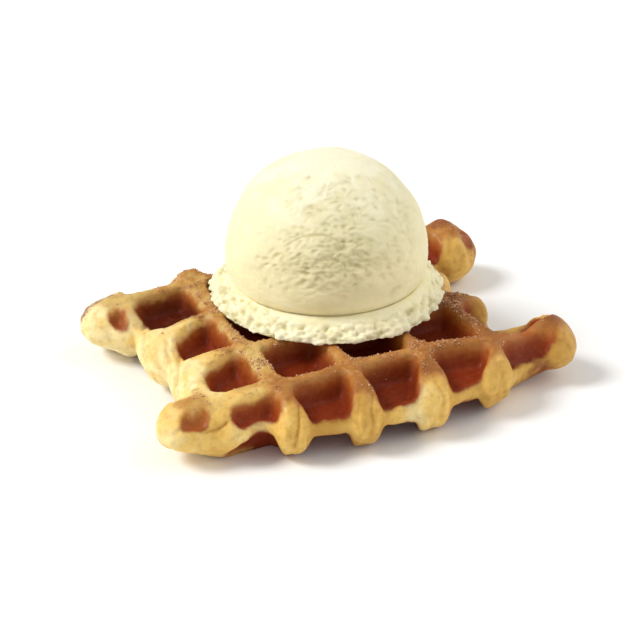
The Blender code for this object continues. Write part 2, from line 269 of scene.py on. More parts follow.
# Patches of coarse sugar and crumbs in cells: centre, radius, share of the grains
SUGAR = (
    ((3.07, 0.90), 0.24, 1.5),
    ((4.06, 1.95), 0.34, 1.6),
    ((3.30, 0.92), 0.20, 0.8),
    ((4.05, 2.30), 0.24, 1.5),
    ((4.06, 1.67), 0.26, 1.5),
    ((4.05, 1.20), 0.22, 1.0),
    ((0.93, 2.04), 0.26, 1.2),
    ((1.24, 1.97), 0.22, 0.8),
    ((0.97, 3.26), 0.28, 1.5),
    ((0.94, 3.62), 0.28, 1.5),
    ((1.05, 3.93), 0.34, 1.5),
    ((0.97, 1.55), 0.22, 1.4),
    ((0.98, 2.50), 0.24, 1.2),
    ((1.60, 1.50), 0.40, 1.0),
    ((0.00, 1.36), 0.20, 1.0),
    ((1.16, 1.17), 0.22, 0.8),
    ((2.02, 1.03), 0.22, 0.5),
    ((2.66, 0.75), 0.26, 0.5),
)

# Thin scatter over all of the top, given in the same way
THIN_SCATTER = (((2.50, 2.20), 2.60, 0.5),)
GRAINS = 3600
GRAIN_SIZE = (0.00016, 0.00055)
GRAIN_SIZE_POWER = 3
GRAIN_SIDES = (0.55, 1.0)
GRAIN_LIFT = 0.35
GRAIN_GROUPS = (0.0042, 32)
GRAINS_BELOW = 0.004

# Places in cells that the iron barely touched: centre, radius, strength. The second list acts on ridges alone
PALE = (
    ((4.75, 1.46), 0.24, 1.0),
    ((4.55, 1.52), 0.16, 0.8),
    ((4.46, 1.86), 0.18, 0.9),
)
PALE_RIDGES = (
    ((0.42, 1.05), 0.24, 0.7),
    ((0.45, 2.02), 0.22, 0.6),
    ((0.20, 3.50), 0.20, 0.6),
    ((1.10, 1.90), 0.14, 0.4),
)

# Pale left walls of the first column's pits: strength, and the slant of their border within each cell
SOFT_WALL_PALE = 0.9
SOFT_WALL_SLANT = 0.50
SOFT_WALL_MIDDLE = 0.45

# Browning of the ridges from left to right, partly the dough's own browning and partly painted shade on the
# side away from the key light: start, rise for each cell, most
TOAST_START = 0.10
TOAST_AND_SHADE_RISE = 0.17
TOAST_MOST = 0.70

# Browning of the pits: share of it at the left edge, that of the brown undersides, and their spread
LEFT_DEPTH = 0.62
UNDER_DEPTH = 0.9
UNDER_SPREAD = 1.6

# Scoop
SCOOP_CELL = (2.64, 2.96)
DOME_RADIUS = 0.0330
DOME_CENTRE_HEIGHT = 0.0142
SKIRT_RADIUS = 0.0384
SKIRT_HEIGHT = 0.0058
SKIRT_SHARE = 0.30
SKIRT_OVERHANG = 0.0012
SKIRT_TUCK = 0.35
GROOVE = 0.0006
REST_GAP = 0.0005
SCOOP_AROUND = 400
SCOOP_RINGS = 245
SKIRT_TOP = 0.36

# Tears in the dome as pixels of the photograph's frame: line, half width, depth in metres
TEARS = (
    (((288, 244), (302, 237), (324, 235), (338, 241), (342, 249)), 1.7, 0.00050),
    (((345, 233), (357, 235), (369, 240)), 1.8, 0.00025),
    (((332, 226), (346, 222), (357, 217), (369, 204)), 2.0, 0.00012),
    (((319, 195), (324, 189), (331, 185), (346, 183)), 1.8, 0.00028),
    (((391, 296), (394, 291), (399, 288)), 2.2, 0.00030),
    (((384, 205), (392, 214), (396, 226)), 2.0, 0.00014),
    (((372, 178), (382, 182), (390, 190)), 2.0, 0.00014),
    (((290, 205), (298, 198), (304, 190)), 2.0, 0.00012),
)

# Short torn marks on the dome in pixels of the same frame: centre of each area, half sides, number, depth
MARKS = (
    ((318, 260), (44, 22), 110, 0.00062),
    ((358, 252), (16, 20), 50, 0.00075),
    ((288, 268), (24, 14), 40, 0.00050),
    ((340, 203), (46, 26), 70, 0.00045),
    ((402, 230), (14, 34), 36, 0.00036),
    ((302, 238), (30, 14), 40, 0.00042),
    ((318, 286), (40, 8), 24, 0.00026),
    ((384, 262), (18, 20), 30, 0.00040),
)

# Each mark: centre of its arc and its sizes in pixels, and how its turn, place, bend and strength vary
MARK_ARC_CENTRE = (322, 350)
MARK_LENGTH = (2.2, 5.5)
MARK_WIDTH = (0.8, 1.5)
MARK_TILT = 0.45
MARK_SCATTER = 0.55
MARK_BEND = 0.05
MARK_SOFT_SIDE = 2.2
MARK_STRENGTH = (0.4, 1.0)

# Relief of the ice cream: heights in metres. Each noise has a height or share, a length in metres and a seed
SWELLS = ((0.0006, 0.017, 21), (0.00035, 0.008, 22))
CREAM_GRAINS = ((0.00010, 0.0012, 25), (0.00005, 0.0006, 26))
CRAG = 0.0008
CRAG_NOISES = ((1.0, 0.0046, 33), (0.6, 0.0021, 34))
CRAG_SQUEEZE = 2.0
CRAG_START = 0.10
CRAG_MOST = 0.7
CRAG_EVERYWHERE = 0.12

# Patches of crags on the dome: strength, compass angle in degrees, height share, spread
CRAG_PATCHES = ((1.0, 246.0, 0.34, 0.075), (0.45, 290.0, 0.55, 0.08))

# Relief of the skirt. Places on its outline run from 0 at the foot to 1 at the top of the scoop
LUMPS = ((0.00095, 0.0030, 27), (0.00050, 0.0016, 28))
LUMP_FALL = 1.9
SKIRT_SWELLS = ((0.0006, 0.0075, 35), (0.00025, 0.0009, 29))
UNEVEN_FRAY = ((0.016, 0.0060, 36),)
FRAY_END = 0.215
FRAY_END_LEFT = 0.11
FRAY_FULL = 0.175
FRAY_FULL_LEFT = 0.05
SHELF_HEIGHT = 0.0005
SHELF_RISE = (0.16, 0.22)
SHELF_FALL = (0.295, 0.26)
GROOVE_DEPTH = 0.0006
GROOVE_PLACE = 0.30
GROOVE_WIDTH = 0.017
GROOVE_LESS_LEFT = 0.7
DOME_START = 0.29
# Depth of hollow at which the painted shade in the hollows is full
HOLLOW_SHADE_FULL = 0.0007

# Colours of the dough: stops of the free sides, the pit walls and the ridges, then single tones
PALE_STOPS = (
    (0.00, (0.92, 0.76, 0.38)),
    (0.27, (0.86, 0.60, 0.19)),
    (0.50, (0.82, 0.52, 0.130)),
    (0.90, (0.58, 0.32, 0.065)),
)
WALL_STOPS = (
    (0.10, (0.52, 0.21, 0.038)),
    (0.34, (0.38, 0.105, 0.015)),
    (0.62, (0.29, 0.048, 0.008)),
    (0.94, (0.24, 0.030, 0.006)),
)
RIDGE_STOPS = (
    (0.05, (0.66, 0.46, 0.15)),
    (0.28, (0.56, 0.30, 0.070)),
    (0.45, (0.46, 0.20, 0.040)),
    (0.74, (0.34, 0.120, 0.020)),
    (1.00, (0.20, 0.062, 0.013)),
)
SUGAR_STOPS = (
    (0.38, (0.44, 0.18, 0.07)),
    (0.50, (0.60, 0.31, 0.15)),
    (0.68, (0.80, 0.52, 0.32)),
)
# Painted shade multiplied into the pits that lie in shade
PIT_PAINTED_SHADE = (0.38, 0.26, 0.20)
# Painted shade multiplied into the creases between the rolled layers
CREASE_PAINTED_SHADE = (0.68, 0.50, 0.24)
SCORCHED = (0.24, 0.065, 0.026)
FLECK = (0.74, 0.42, 0.22)
PORE = (0.30, 0.12, 0.06)
MOTTLE = (0.30, 0.12, 0.04)

# Colours of the ice cream from foot to top, its own cream with painted light and shade by height: paler at
# the foot and the top, darker and more olive round the middle, and warmer low down as painted light thrown up
# from the waffle; then its specks, the painted shade of its hollows, and how far light spreads in it
CREAM_AND_PAINTED_LIGHT_STOPS = (
    (0.05, (0.95, 0.88, 0.60)),
    (0.25, (0.91, 0.83, 0.50)),
    (0.50, (0.81, 0.74, 0.45)),
    (0.78, (0.83, 0.77, 0.50)),
    (0.95, (0.92, 0.88, 0.65)),
)
CREAM_SPECK = (0.72, 0.60, 0.34)
# Painted shade of the hollows
CREAM_PAINTED_SHADE = (0.55, 0.48, 0.22)
CREAM_SCATTER = (0.0040, 0.0030, 0.0016)

# Noise scales of the materials, in turns for each metre
BROAD_SCALE = 160.0
FINE_SCALE = 900.0
PORE_SCALE = 1300.0
MOTTLE_SCALE = 420.0
CRUST_BUMP_SCALE = 1500.0
CREAM_TONE_SCALE = 120.0
CREAM_SPECK_SCALE = 1400.0
CREAM_GLOSS_SCALE = 600.0
CREAM_BUMP_SCALE = 2200.0
SUGAR_TONE_SCALE = 700.0
SUGAR_GLOSS_SCALE = 2000.0
FLOOR_SCALE = 6.0

# Pale floor, light from all round, and suns: name, direction towards the light, strength, softness in degrees
FLOOR_HALF = 4.0
FLOOR_STOPS = ((0.0, (0.95, 0.96, 0.97)), (1.0, (0.97, 0.98, 0.99)))
SKY_TONE = (1.0, 0.97, 0.92, 1.0)
SKY_STRENGTH = 0.47
SUNS = (
    ("key", (-0.85, 0.38, 0.95), 2.15, 22.0),
    ("rim", (-1.0, 0.45, 0.20), 0.80, 40.0),
    ("fill", (0.90, -0.30, 0.55), 1.22, 70.0),
)

# Camera, from the photograph's 640 pixel square frame
FRAME_PIXELS = 640
FOCAL_PIXELS = 1500.87
SENSOR = 36.0
VIEW_AZIMUTH = math.radians(-26.26)
VIEW_ELEVATION = math.radians(28.84)
VIEW_DISTANCE = 0.48
LOOK_CELL = (2.15446, 2.18809)

SEED = 11


def smoothstep(low, high, value):
    part = np.clip((value - low) / (high - low), 0.0, 1.0)
    return part * part * (3.0 - 2.0 * part)


def smooth_min(a, b, blend):
    near = np.clip(0.5 + 0.5 * (b - a) / blend, 0.0, 1.0)
    return b + (a - b) * near - blend * near * (1.0 - near)


def noise_at(points, length, seed):
    """Smooth noise from -1 to 1 at each point of an array of positions in metres."""
    shift = Vector((0.37 * seed, 1.91 * seed, 0.73 * seed))
    scaled = points / length
    return np.array([noise.noise(Vector(p) + shift) for p in scaled.tolist()])


def noise_sum(points, parts):
    """Sum of smooth noises, each given as its height, its length in metres and its seed."""
    return sum(height * noise_at(points, length, seed) for height, length, seed in parts)


def noise_field(x, y, length, seed):
    """Smooth noise from -1 to 1 over plan positions in metres, as in the solid."""
    points = zip(x.ravel() / length, y.ravel() / length)
    values = [noise.noise(Vector((a, b, seed))) for a, b in points]
    return np.array(values).reshape(x.shape)


def spots(x, y, places):
    """Sum of soft round spots in plan: centre in cells, radius in cells, height of the middle."""
    total = np.zeros_like(x)
    for (cx, cy), radius, height in places:
        total += height * np.exp(-((x - cx) ** 2 + (y - cy) ** 2) / radius**2)
    return total


def frame_pixels(points):
    """Where points show in the photograph's frame."""
    back, eye = view_of_photograph()
    right = Vector((math.cos(VIEW_AZIMUTH), math.sin(VIEW_AZIMUTH), 0.0))
    up = np.array(Vector(back).cross(right))
    away = points - np.array(eye)
    depth = -(away @ np.array(back))
    across = FRAME_PIXELS / 2 + FOCAL_PIXELS * (away @ np.array(right)) / depth
    down = FRAME_PIXELS / 2 - FOCAL_PIXELS * (away @ up) / depth
    return across, down


def line_distance(across, down, line):
    """Distance in pixels to a line of a few points."""
    nearest = np.full(across.shape, np.inf)
    for (x0, y0), (x1, y1) in zip(line, line[1:]):
        run_x, run_y = x1 - x0, y1 - y0
        share = ((across - x0) * run_x + (down - y0) * run_y) / (run_x**2 + run_y**2)
        share = np.clip(share, 0.0, 1.0)
        away = np.hypot(across - x0 - share * run_x, down - y0 - share * run_y)
        nearest = np.minimum(nearest, away)
    return nearest


def traced_lines(points, normals, lines):
    """Depth in metres of the lines that the photograph shows, on surfaces that face it."""
    across, down = frame_pixels(points)
    wobble = WAVER * noise_at(points, *WAVER_NOISE)
    facing_view = smoothstep(*LINES_FACE, normals @ np.array(view_of_photograph()[0]))
    depth = np.zeros(len(points))
    for line, width, deep in lines:
        away = line_distance(across, down, line) + wobble
        depth = np.maximum(depth, deep * np.exp(-((away / width) ** 2)))
    return depth * facing_view


def torn_marks(points, normals):
    """Depth in metres of short crescents with a sharp upper side, which follow arcs around the dome."""
    rng = np.random.default_rng(SEED)
    across, down = frame_pixels(points)
    facing_view = smoothstep(*MARKS_FACE, normals @ np.array(view_of_photograph()[0]))
    depth = np.zeros(len(points))
    for (cx, cy), (half_x, half_y), number, deep in MARKS:
        for _ in range(number):
            x0 = cx + half_x * rng.normal() * MARK_SCATTER
            y0 = cy + half_y * rng.normal() * MARK_SCATTER
            turn = math.atan2(x0 - MARK_ARC_CENTRE[0], MARK_ARC_CENTRE[1] - y0) + MARK_TILT * rng.normal()
            length = rng.uniform(*MARK_LENGTH)
            width = rng.uniform(*MARK_WIDTH)
            along = (across - x0) * math.cos(turn) + (down - y0) * math.sin(turn)
            away = (down - y0) * math.cos(turn) - (across - x0) * math.sin(turn) - MARK_BEND * along**2
            spread = np.where(away < 0.0, width, MARK_SOFT_SIDE * width)
            mark = np.exp(-((along / length) ** 2) - (away / spread) ** 2)
            depth = np.maximum(depth, deep * rng.uniform(*MARK_STRENGTH) * mark)
    return depth * facing_view


def view_of_photograph():
    """Direction from the subject back to the photograph's camera, and where that camera stands."""
    flat = math.cos(VIEW_ELEVATION)
    back = Vector((math.sin(VIEW_AZIMUTH) * flat, -math.cos(VIEW_AZIMUTH) * flat, math.sin(VIEW_ELEVATION)))
    look_x = (LOOK_CELL[0] - GRID_CENTRE[0]) * PITCH
    look_y = (LOOK_CELL[1] - GRID_CENTRE[1]) * PITCH
    return back, Vector((look_x, look_y, THICKNESS)) + back * VIEW_DISTANCE


def grid_coordinates(x, y):
    """Cells as the iron cut them: the grid leans and bends a little at the front right."""
    lean = LEAN * np.clip(1.0 - y, 0.0, 1.0) * np.clip(x / 3.0, 0.0, 1.0)
    bend = BEND * smoothstep(3.0, 4.1, x) * (1.0 - smoothstep(1.0, 2.0, y))
    across = WAVE * np.sin(2.3 * y + 0.7 * x) + RIPPLE * np.sin(5.1 * y + 1.0)
    along = WAVE * np.sin(1.9 * x + 0.5 * y) + RIPPLE * np.sin(4.3 * x + 2.0)
    return x + lean + across, y + bend + along


def pit_floors(last_column, left_rim):
    """Floor rectangle of each pit in grid coordinates. Pits of the outer rows are open outwards."""
    margin = (RIDGE_TOP / 2 + WALL_RUN) / PITCH
    far = 6.0
    floors = []
    for row, last in last_column.items():
        for column in range(last + 1):
            pit = (row, column)
            left = column + margin + left_rim.get(pit, 0.0)
            right = column + 1 - margin - RIGHT_RIM.get(pit, 0.0)
            front = row + margin + FRONT_RIM.get(pit, 0.0) if row > 0 else -far
            back = row + 1 - margin if row < 4 else far
            left_slope = SOFT_WALL if pit in SOFT_LEFT else 1.0
            right_slope = SOFT_WALL if pit in SOFT_RIGHT else 1.0
            slant = SLANTED_BACK.get(pit, 0.0)
            floors.append((left, right, front, back, left_slope, right_slope, slant))
    return floors


def pressed(x, y, last_column=LAST_COLUMN, left_rim=LEFT_RIM):
    """How far the iron pressed the dough in: 0 on the ridges and 1 on the pit floors."""
    u, v = grid_coordinates(x, y)
    at_front = smoothstep(*FLARE_FRONT_FROM, v)
    flare = FLARE * (at_front + smoothstep(*FLARE_BACK_FROM, v))
    flare = flare + FLARE_RIGHT * at_front * smoothstep(*FLARE_RIGHT_FROM, x)
    depth = np.zeros_like(x)
    for left, right, front, back, left_slope, right_slope, slant in pit_floors(last_column, left_rim):
        du = np.maximum((left + flare - u) * left_slope, (u - right + flare) * right_slope)
        du = np.maximum(du, 0.0)
        behind = (v - back + slant * np.clip(right - u, 0.0, 1.0)) * (SOFT_WALL if slant else 1.0)
        dv = np.maximum(np.maximum(front - v, behind), 0.0)
        away = np.hypot(du, dv) * PITCH / WALL_RUN
        depth = np.maximum(depth, 1.0 - smoothstep(0.0, 1.0, away))
    return depth


def tip_marks(x, y):
    depth = np.zeros_like(x)
    for (cx, cy), (half_x, half_y) in TIP_PITS:
        dx = np.maximum(np.abs(x - cx) - half_x, 0.0)
        dy = np.maximum(np.abs(y - cy) - half_y, 0.0)
        away = np.hypot(dx, dy) * PITCH / WALL_RUN
        depth = np.maximum(depth, TIP_PIT_DEPTH * (1.0 - smoothstep(0.0, 1.0, away)))
    return depth


def arm_distance(x, y, root, tip, root_radius, tip_radius):
    """Distance in cells to the edge of a tapered round-ended bar, positive inside."""
    run_x = tip[0] - root[0]
    run_y = tip[1] - root[1]
    along = ((x - root[0]) * run_x + (y - root[1]) * run_y) / (run_x**2 + run_y**2)
    along = np.clip(along, 0.0, 1.0)
    away = np.hypot(x - root[0] - along * run_x, y - root[1] - along * run_y)
    return root_radius + along * (tip_radius - root_radius) - away


def edge_distance(x, y):
    """Distance in metres to the edge of the dough in plan, positive inside."""
    bow = BOW * (x - BOW_CENTRE) ** 2
    inside = smooth_min(x - BODY_LEFT, BODY_RIGHT - x, EDGE_BLEND)
    inside = smooth_min(inside, y - FRONT_EDGE - bow, EDGE_BLEND)
    inside = smooth_min(inside, BACK_EDGE - bow - y, EDGE_BLEND)
    for root, tip, root_radius, tip_radius in ARMS:
        arm = arm_distance(x, y, root, tip, root_radius, tip_radius)
        inside = -smooth_min(-inside, -arm, EDGE_BLEND)
    return (inside - spots(x, y, NOTCHES)) * PITCH


def under_round(x, y):
    """Distance over which the underside rounds off: shorter where the dough sags."""
    return edge_round(x) * (1.0 - spots(x, y, SAGS))


def front_lip(x, y, press):
    """Extra half thickness of the web along the open front edge."""
    height = sum(high * np.exp(-(((x - at) / LIP_SPREAD) ** 2)) for at, high in LIPS)
    return height * press * smoothstep(LIP_WIDTH, 0.0, edge_distance(x, y)) * (y < 1.0)


def iron_heights(x, y, press):
    """Half heights that the iron left above and below the middle, away from the dough's edge."""
    uneven = UNEVEN * noise_field(x * PITCH, y * PITCH, UNEVEN_LENGTH, 7.0)
    depth = (THICKNESS - WEB) / 2
    lip = front_lip(x, y, press)
    above = THICKNESS / 2 + uneven - depth * np.maximum(press, tip_marks(x, y)) + lip
    below = THICKNESS / 2 + FLAT_TRIM - (depth + FLAT_TRIM) * pressed(x, y, LAST_UNDER, UNDER_RIM) + lip
    above += spots(x, y, HUMPS)
    return above, below


def folded_edge(x, y, press):
    """Distance in metres to the edge with the knuckles at the ridge ends and the folds of the dough."""
    edge = edge_distance(x, y) + KNUCKLE * (1.0 - press)
    return edge + FOLD * noise_field(x * PITCH, y * PITCH, FOLD_LENGTH, 3.0)


def edge_round(x):
    """Distance over which the dough rounds off to its edge: longer on the left."""
    return LEFT_ROUND + (EDGE_ROUND - LEFT_ROUND) * smoothstep(0.3, 1.3, x)


def dough_heights(x, y):
    """Half heights of the dough above and below its middle, and the distance to its edge."""
    press = pressed(x, y)
    edge = folded_edge(x, y, press)
    inner = np.clip(edge / edge_round(x), 0.0, 1.0)
    dome = THICKNESS / 2 * np.sqrt(1.0 - (1.0 - inner) ** 2)
    above, below = iron_heights(x, y, press)
    top = smooth_min(dome + np.maximum(above - THICKNESS / 2, 0.0), above, CORNER_BLEND)
    inner = np.clip(edge / under_round(x, y), 0.0, 1.0)
    dome = THICKNESS / 2 * np.sqrt(1.0 - (1.0 - inner) ** 2)
    bottom = smooth_min(dome * (1.0 + 2.0 * FLAT_TRIM / THICKNESS), below, CORNER_BLEND)
    bottom *= 1.0 - spots(x, y, UNDERCUTS)
    return np.maximum(top, 0.0), np.maximum(bottom, 0.0), edge


def slide_to_edge(x, y, edge, step):
    """Moves samples that lie just outside the dough onto its edge, down the slope of the distance."""
    slope_x, slope_y = np.gradient(edge, step * PITCH)
    length = np.maximum(np.hypot(slope_x, slope_y), 0.4)
    move = np.clip(-edge, 0.0, 1.5 * step * PITCH) / length**2 / PITCH
    return x + move * slope_x, y + move * slope_y


def dough_mesh(name, sample):
    """Closed mesh of the dough: an upper and a lower sheet that share the samples outside its edge."""
    step = sample / PITCH
    x, y = np.meshgrid(np.arange(*SPAN_X, step), np.arange(*SPAN_Y, step), indexing="ij")
    top, bottom, edge = dough_heights(x, y)
    inside = edge > 0.0
    px, py = slide_to_edge(x, y, edge, step)
    px = np.where(inside, x, px)
    py = np.where(inside, y, py)
    cell_used = inside[:-1, :-1] | inside[1:, :-1] | inside[:-1, 1:] | inside[1:, 1:]
    upper = np.arange(x.size).reshape(x.shape)
    lower = np.where(inside, upper + x.size, upper)
    middle = THICKNESS / 2
    z_top = np.where(inside, middle + top, middle)
    z_bottom = middle - bottom
    plan_x = (px - GRID_CENTRE[0]) * PITCH
    plan_y = (py - GRID_CENTRE[1]) * PITCH
    upper_points = np.stack([plan_x, plan_y, z_top], -1).reshape(-1, 3)
    lower_points = np.stack([plan_x, plan_y, z_bottom], -1).reshape(-1, 3)
    points = np.concatenate([upper_points, lower_points])
    i, j = np.nonzero(cell_used)
    faces_up = np.stack([upper[i, j], upper[i + 1, j], upper[i + 1, j + 1], upper[i, j + 1]], -1)
    faces_down = np.stack([lower[i, j], lower[i, j + 1], lower[i + 1, j + 1], lower[i + 1, j]], -1)
    faces = np.concatenate([faces_up, faces_down])
    kept, index = np.unique(faces, return_inverse=True)
    return mesh_of(name, points[kept], index.reshape(faces.shape))


def mesh_of(name, points, faces):
    mesh = bpy.data.meshes.new(name)
    mesh.from_pydata(points.tolist(), [], faces.tolist())
    mesh.update()
    return mesh


def new_object(name, mesh):
    obj = bpy.data.objects.new(name, mesh)
    bpy.context.scene.collection.objects.link(obj)
    return obj


def apply_modifiers(obj):
    bpy.context.view_layer.update()
    graph = bpy.context.evaluated_depsgraph_get()
    mesh = bpy.data.meshes.new_from_object(obj.evaluated_get(graph))
    obj.modifiers.clear()
    obj.data = mesh


def fuse_and_round(obj, voxel, smoothing):
    """Makes one even skin of the two sheets and softens it as baked dough."""
    remesh = obj.modifiers.new("Skin", "REMESH")
    remesh.mode = "VOXEL"
    remesh.voxel_size = voxel
    soften = obj.modifiers.new("Soften", "SMOOTH")
    soften.factor = 0.5
    soften.iterations = smoothing
    apply_modifiers(obj)


def vertex_array(mesh, field):
    values = np.empty(len(mesh.vertices) * 3, np.float32)
    mesh.vertices.foreach_get(field, values)
    return values.reshape(-1, 3).astype(float)


def set_points(mesh, points):
    mesh.vertices.foreach_set("co", points.astype(np.float32).ravel())
    mesh.update()


def set_mask(mesh, name, values):
    mask = mesh.attributes.new(name, "FLOAT", "POINT")
    mask.data.foreach_set("value", np.clip(values, 0.0, 1.0).astype(np.float32))


def blurred(mesh, values, rounds):
    """Values averaged with those of the neighbours over the mesh, a number of times."""
    edges = np.empty(len(mesh.edges) * 2, np.int32)
    mesh.edges.foreach_get("vertices", edges)
    first, second = edges.reshape(-1, 2).T
    size = len(values)
    neighbours = np.maximum(np.bincount(edges, minlength=size), 1)
    for _ in range(rounds):
        total = np.bincount(first, values[second], size) + np.bincount(second, values[first], size)
        values = 0.5 * values + 0.5 * total / neighbours
    return values


def cells_of(points):
    return points[:, 0] / PITCH + GRID_CENTRE[0], points[:, 1] / PITCH + GRID_CENTRE[1]


def brown_underside(points):
    """1 where the underside shows brown through the open front."""
    x, y = cells_of(points)
    below = smoothstep(0.0, -0.002, points[:, 2] - THICKNESS / 2)
    return np.clip(UNDER_SPREAD * spots(x, y, BROWN_UNDER), 0.0, 1.0) * below


def open_share(points):
    """1 where the dough rose free at its edge, and 0 where the iron touched it."""
    x, y = cells_of(points)
    press = pressed(x, y)
    above, below = iron_heights(x, y, press)
    below *= 1.0 - spots(x, y, UNDERCUTS) * pressed(x, y, LAST_UNDER, UNDER_RIM)
    height = points[:, 2] - THICKNESS / 2
    share = np.abs(height) / np.where(height > 0.0, above, below)
    near_edge = 1.0 - smoothstep(*FREE_EDGE, folded_edge(x, y, press) / edge_round(x))
    browned = np.maximum(brown_underside(points), np.clip(spots(x, y, BROWN_EDGE), 0.0, 1.0))
    return (1.0 - smoothstep(*FREE_HEIGHT, share)) * near_edge * (1.0 - browned)


def crease_relief(points, free):
    """Creases between the rolled layers, which run down the free sides, and fine layer lines."""
    slanted = points.copy()
    slanted[:, 0] += CREASE_SLANT * points[:, 2]
    slanted[:, 2] *= CREASE_SQUEEZE
    across = noise_at(slanted, *CREASE_NOISE)
    crease = np.exp(-((across / CREASE_WIDTH) ** 2))
    lines = np.sin(LAYER_TURNS * noise_at(slanted, *LAYER_NOISE))
    return -free * (CREASE_DEPTH * crease + LAYER_DEPTH * lines)


def crumb_relief(points, free, rough):
    """Blisters and crumbs of the crust, strongest on the rough ridge tops."""
    strength = (1.0 - SMOOTH_WHEN_FREE * free) * (1.0 + ROUGH_GAIN * rough)
    crumbs = sum(share * np.abs(noise_at(points, length, seed)) for share, length, seed in CRUMB_NOISES)
    return strength * noise_sum(points, BLISTERS) + CRUMB * rough * (crumbs - CRUMB_BASE)


def pale_share(x, y, depth, upper):
    """1 where the crust stayed pale: on soft pit walls and where the iron barely touched it."""
    across, along = grid_coordinates(x, y)
    slanting = across - SOFT_WALL_SLANT * (along % 1.0 - SOFT_WALL_MIDDLE)
    soft = smoothstep(0.72, 0.44, slanting) * smoothstep(0.0, 0.15, across) * smoothstep(4.0, 3.8, along)
    pale = SOFT_WALL_PALE * soft * upper * smoothstep(0.60, 0.15, depth)
    pale = np.maximum(pale, np.clip(spots(x, y, PALE), 0.0, 1.0))
    on_ridges = np.clip(spots(x, y, PALE_RIDGES), 0.0, 1.0) * smoothstep(0.45, 0.10, depth)
    return np.maximum(pale, on_ridges)


def set_crust_masks(mesh, x, y, free, folds, rough):
    """Writes the shares that the crust's material mixes its colours by."""
    points = vertex_array(mesh, "co")
    middle = THICKNESS / 2
    depth = 1.0 - (np.abs(points[:, 2] - middle) - WEB / 2) / ((THICKNESS - WEB) / 2)
    free = np.maximum(free, pale_share(x, y, depth, points[:, 2] > middle))
    depth = np.maximum(depth, UNDER_DEPTH * brown_underside(points))
    across = grid_coordinates(x, y)[0]
    set_mask(mesh, "free", blurred(mesh, free, MASK_BLUR))
    # Painted shade in the creases follows their depth
    set_mask(mesh, "crease_shade", folds / CREASE_SHADE_FULL)
    set_mask(mesh, "depth", depth * (LEFT_DEPTH + (1.0 - LEFT_DEPTH) * smoothstep(0.0, 0.25, across)))
    # Browning that rises towards the right, partly painted shade, plus the places browned more or less
    set_mask(mesh, "toast_and_shade", np.minimum(TOAST_START + TOAST_AND_SHADE_RISE * x, TOAST_MOST) + spots(x, y, TOASTED))
    # Painted shade in the pits that lie in shade, deep in the pits only
    set_mask(mesh, "pit_shade", spots(x, y, SHADED_PITS) * smoothstep(0.15, 0.60, depth))
    set_mask(mesh, "char", spots(x, y, CHARS) * smoothstep(0.30, 0.55, points[:, 2] / THICKNESS))
    set_mask(mesh, "rough", rough)


def make_waffle():
    waffle = new_object("waffle_crust", dough_mesh("waffle_crust", SAMPLE))
    fuse_and_round(waffle, VOXEL, SMOOTHING)
    mesh = waffle.data
    points = vertex_array(mesh, "co")
    normals = vertex_array(mesh, "normal")
    x, y = cells_of(points)
    free = open_share(points)
    on_top = smoothstep(0.80, 0.97, (points[:, 2] - THICKNESS / 2) / (THICKNESS / 2))
    rough = np.clip(spots(x, y, SUGAR), 0.0, 1.0) * on_top
    relief = crease_relief(points, free) + crumb_relief(points, free, rough)
    folds = traced_lines(points, normals, CREASES) * np.clip(free + 0.3, 0.0, 1.0)
    relief -= folds
    points += relief[:, None] * normals
    points[:, 2] = np.maximum(points[:, 2], 0.0)
    set_points(mesh, points)
    set_crust_masks(mesh, x, y, free, folds, rough)
    mesh.shade_smooth()
    mesh.materials.append(dough_material())
    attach(waffle, "root")
    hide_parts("waffle")
    return waffle


